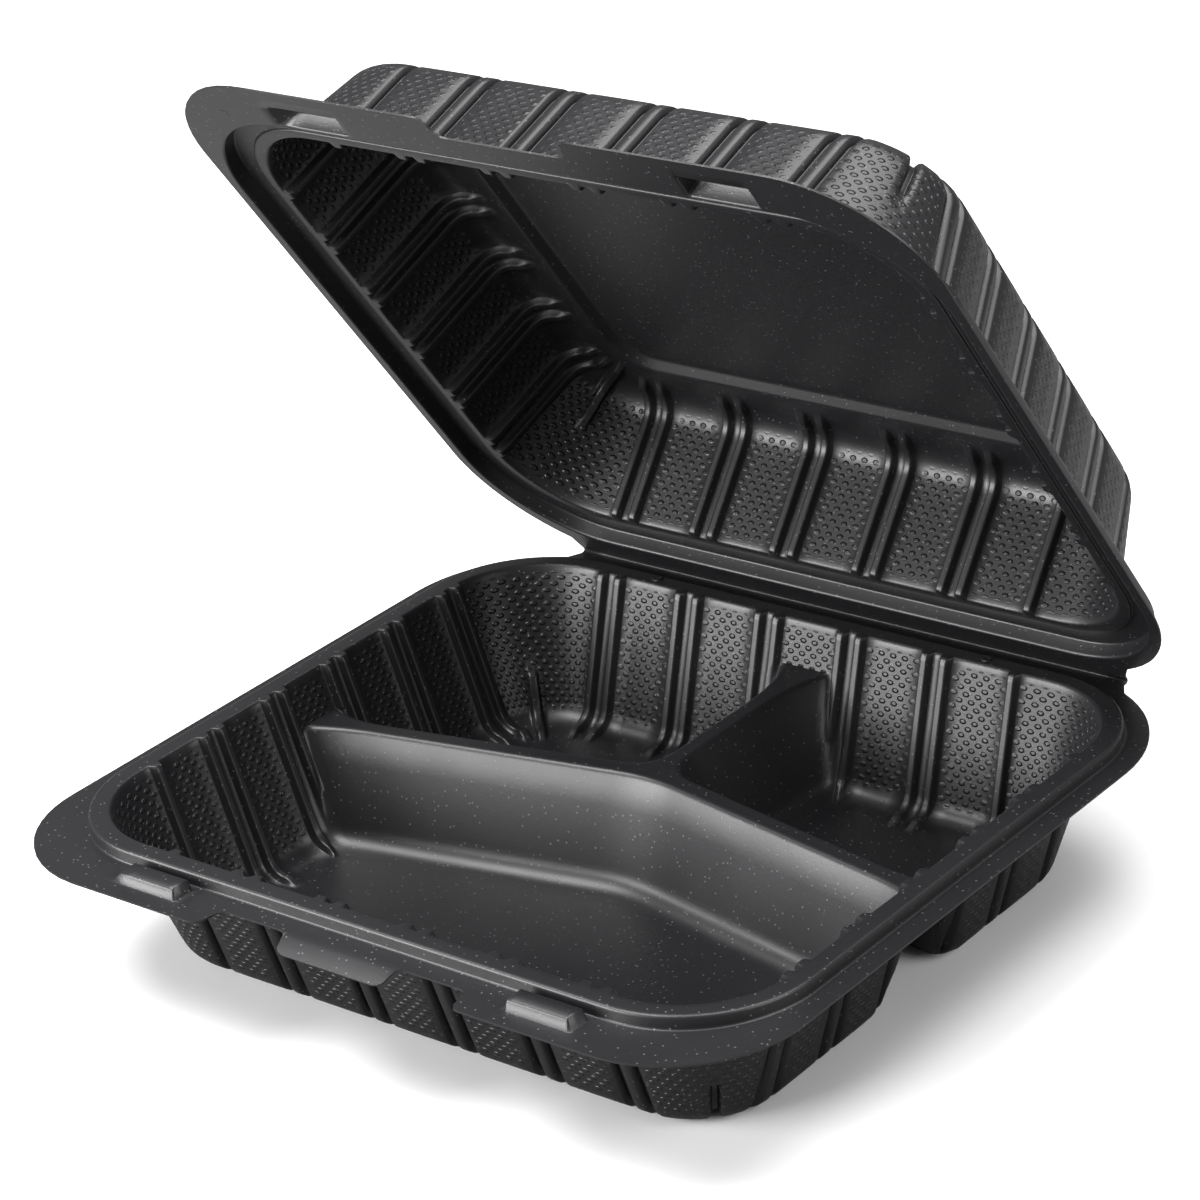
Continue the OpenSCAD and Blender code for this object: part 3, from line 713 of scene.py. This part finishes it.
def open_lid(p):
    """Turns the pan over and opens it about the hinge: height h = -z, then (y, h) turns by the opening angle."""
    c, s = math.cos(math.radians(LID_OPEN)), math.sin(math.radians(LID_OPEN))
    y, h = p[:, 1] - AXIS_Y, -p[:, 2]
    return np.column_stack([p[:, 0], AXIS_Y + c * y + s * h, AXIS_Z - s * y + c * h])


lid = skin.finish("lid_sheet", edge_row, True, open_lid)
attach(lid, "lid")
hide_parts("lid")


# ---------------------------------------------------------------- hinge film
# The same sheet coined thin along the fold. It leaves the tray's flange, bends up round the hinge line and runs
# into the lid's flange, so it is shared between both bodies.
line = np.array([(102.8, 38.36), (103.6, 38.36), (104.2, 38.4), (104.62, 38.55), (104.85, 38.9), (104.82, 39.3),
                 (104.6, 39.68), (104.3, 40.1), (103.95, 40.6)])
step = np.gradient(line, axis=0)
step /= np.hypot(*step.T)[:, None]
FILM_HALF = 0.14                    # half of its thickness
side = np.column_stack([-step[:, 1], step[:, 0]]) * FILM_HALF
section = np.concatenate([line + side, (line - side)[::-1]])
xs = np.linspace(-STRIP_HALF, STRIP_HALF, 24)
verts = np.array([(x, y, z) for x in xs for y, z in section])
m = len(section)
faces = [[i * m + j, i * m + (j + 1) % m, (i + 1) * m + (j + 1) % m, (i + 1) * m + j]
         for i in range(len(xs) - 1) for j in range(m)]
faces += [list(range(m))[::-1], [(len(xs) - 1) * m + j for j in range(m)]]
film = new_mesh("hinge_film", verts, faces, BLACK)
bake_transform(film)


# ---------------------------------------------------------------- vent pips
# Small round marks pressed up by the mould's vents, on the rim and on the lid's flange.
# Each has a ring with a shallow dimple in its middle.
PIP_R = np.array([1.6, 1.45, 1.2, 0.95, 0.8, 0.45])
PIP_H = np.array([0.0, 0.22, 0.4, 0.34, 0.26, 0.22])
PIP_N = 20


def pip(name, x, y, z, body, place, rise=1.0):
    """Rings of points round a middle, each with its own radius and height, closed by a small flat face."""
    a = np.linspace(0, 2 * math.pi, PIP_N, endpoint=False)
    pts = np.stack([x + PIP_R[:, None] * np.cos(a), y + PIP_R[:, None] * np.sin(a),
                    z + rise * PIP_H[:, None] + 0 * a], 2)
    rings = np.arange(len(PIP_R) * PIP_N).reshape(-1, PIP_N)
    after = np.roll(rings, -1, 1)
    faces = np.stack([rings[:-1], after[:-1], after[1:], rings[1:]], 2).reshape(-1, 4).tolist() + [rings[-1].tolist()]
    obj = new_mesh(name, place(pts.reshape(-1, 3)), faces if place is keep else [f[::-1] for f in faces], BLACK)
    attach(obj, body)


def keep(p):
    """Leaves points where they are."""
    return p


pip("rim_pip_left", -53.8, 93.15, RIM_Z - 0.02, "base", keep)
pip("rim_pip_right", 53.8, 93.15, RIM_Z - 0.02, "base", keep)
pip("lid_pip_left", -91.4, -98.5, -0.16, "lid", open_lid, 0.25)
pip("lid_pip_right", 91.4, -98.5, -0.16, "lid", open_lid, 0.25)


# ---------------------------------------------------------------- floor, light and camera
# White studio ground that runs out to a white background, under four large softboxes. Only the camera sees the
# ground and the world white. To the object both are dimmer, and from below the ground is clear.
ground = bpy.data.materials.new("white_ground")
ground.use_nodes = True
tree = ground.node_tree
tree.nodes.clear()
seen = add_node(tree, "ShaderNodeLightPath").outputs["Is Camera Ray"]
tone = add_node(tree, "ShaderNodeMix", {0: seen, 6: srgb("#8c8c8c"), 7: srgb("#f6f6f6")}, data_type="RGBA").outputs[2]
shader = add_node(tree, "ShaderNodeBsdfPrincipled", {"Base Color": tone, "Roughness": 0.9})
under = add_node(tree, "ShaderNodeNewGeometry").outputs["Backfacing"]
clear = add_node(tree, "ShaderNodeBsdfTransparent")
mix = add_node(tree, "ShaderNodeMixShader", {0: under, 1: shader.outputs[0], 2: clear.outputs[0]})
add_node(tree, "ShaderNodeOutputMaterial", {"Surface": mix.outputs[0]})
GROUND_HALF, GROUND_Z = 4000, -0.05
floor = new_mesh("studio_floor", [(GROUND_HALF * x, GROUND_HALF * y, GROUND_Z)
                                  for x, y in ((-1, -1), (1, -1), (1, 1), (-1, 1))], [[0, 1, 2, 3]], ground, False)

world = bpy.data.worlds.new("studio")
bpy.context.scene.world = world
world.use_nodes = True
tree = world.node_tree
tree.nodes.clear()
seen = add_node(tree, "ShaderNodeLightPath").outputs["Is Camera Ray"]
white = add_node(tree, "ShaderNodeBackground", {"Color": (1, 1, 1, 1), "Strength": 1.0})
fill = add_node(tree, "ShaderNodeBackground", {"Color": (1, 1, 1, 1), "Strength": 0.22})
mix = add_node(tree, "ShaderNodeMixShader", {0: seen, 1: fill.outputs[0], 2: white.outputs[0]})
add_node(tree, "ShaderNodeOutputWorld", {"Surface": mix.outputs[0]})


def softbox(name, position, target, size, power):
    """Large soft area light that points at the object."""
    data = bpy.data.lights.new(name, "AREA")
    data.shape = "RECTANGLE"
    data.size, data.size_y = size
    data.energy = power
    obj = bpy.data.objects.new(name, data)
    obj.location = position
    obj.rotation_euler = (Vector(target) - Vector(position)).to_track_quat("-Z", "Y").to_euler()
    bpy.context.scene.collection.objects.link(obj)
    return obj


softbox("key_softbox", (-0.45, -0.55, 1.4), (0, 0, 0.06), (0.8, 0.6), 26)
softbox("top_softbox", (0.1, 0.35, 1.3), (0, 0, 0.05), (1.2, 0.9), 22)
softbox("front_softbox", (-0.75, -1.1, 0.42), (0, 0, 0.05), (1.1, 0.55), 32)
softbox("right_softbox", (1.2, 0.1, 0.7), (0, 0, 0.06), (0.8, 0.8), 9)

# camera as fitted to the outlines in the photo
AZ, EL, ROLL = math.radians(40.142), math.radians(24.805), math.radians(-5.431)
LENS, SPOT = 122.48, Vector((0.59244, -0.69853, 0.50967))
ahead = Vector((-math.sin(AZ) * math.cos(EL), math.cos(AZ) * math.cos(EL), -math.sin(EL)))
right = Vector((math.cos(AZ), math.sin(AZ), 0))
up = right.cross(ahead)
right2 = right * math.cos(ROLL) + up * math.sin(ROLL)
up2 = up * math.cos(ROLL) - right * math.sin(ROLL)
camera = bpy.data.objects.new("camera", bpy.data.cameras.new("camera"))
camera.data.lens = LENS
camera.data.sensor_width = 36
camera.data.clip_end = 20
camera.matrix_world = Matrix([[right2[i], up2[i], -ahead[i], SPOT[i]] for i in range(3)] + [[0, 0, 0, 1]])
bpy.context.scene.collection.objects.link(camera)
bpy.context.scene.camera = camera
bpy.context.scene.view_settings.view_transform = "Standard"
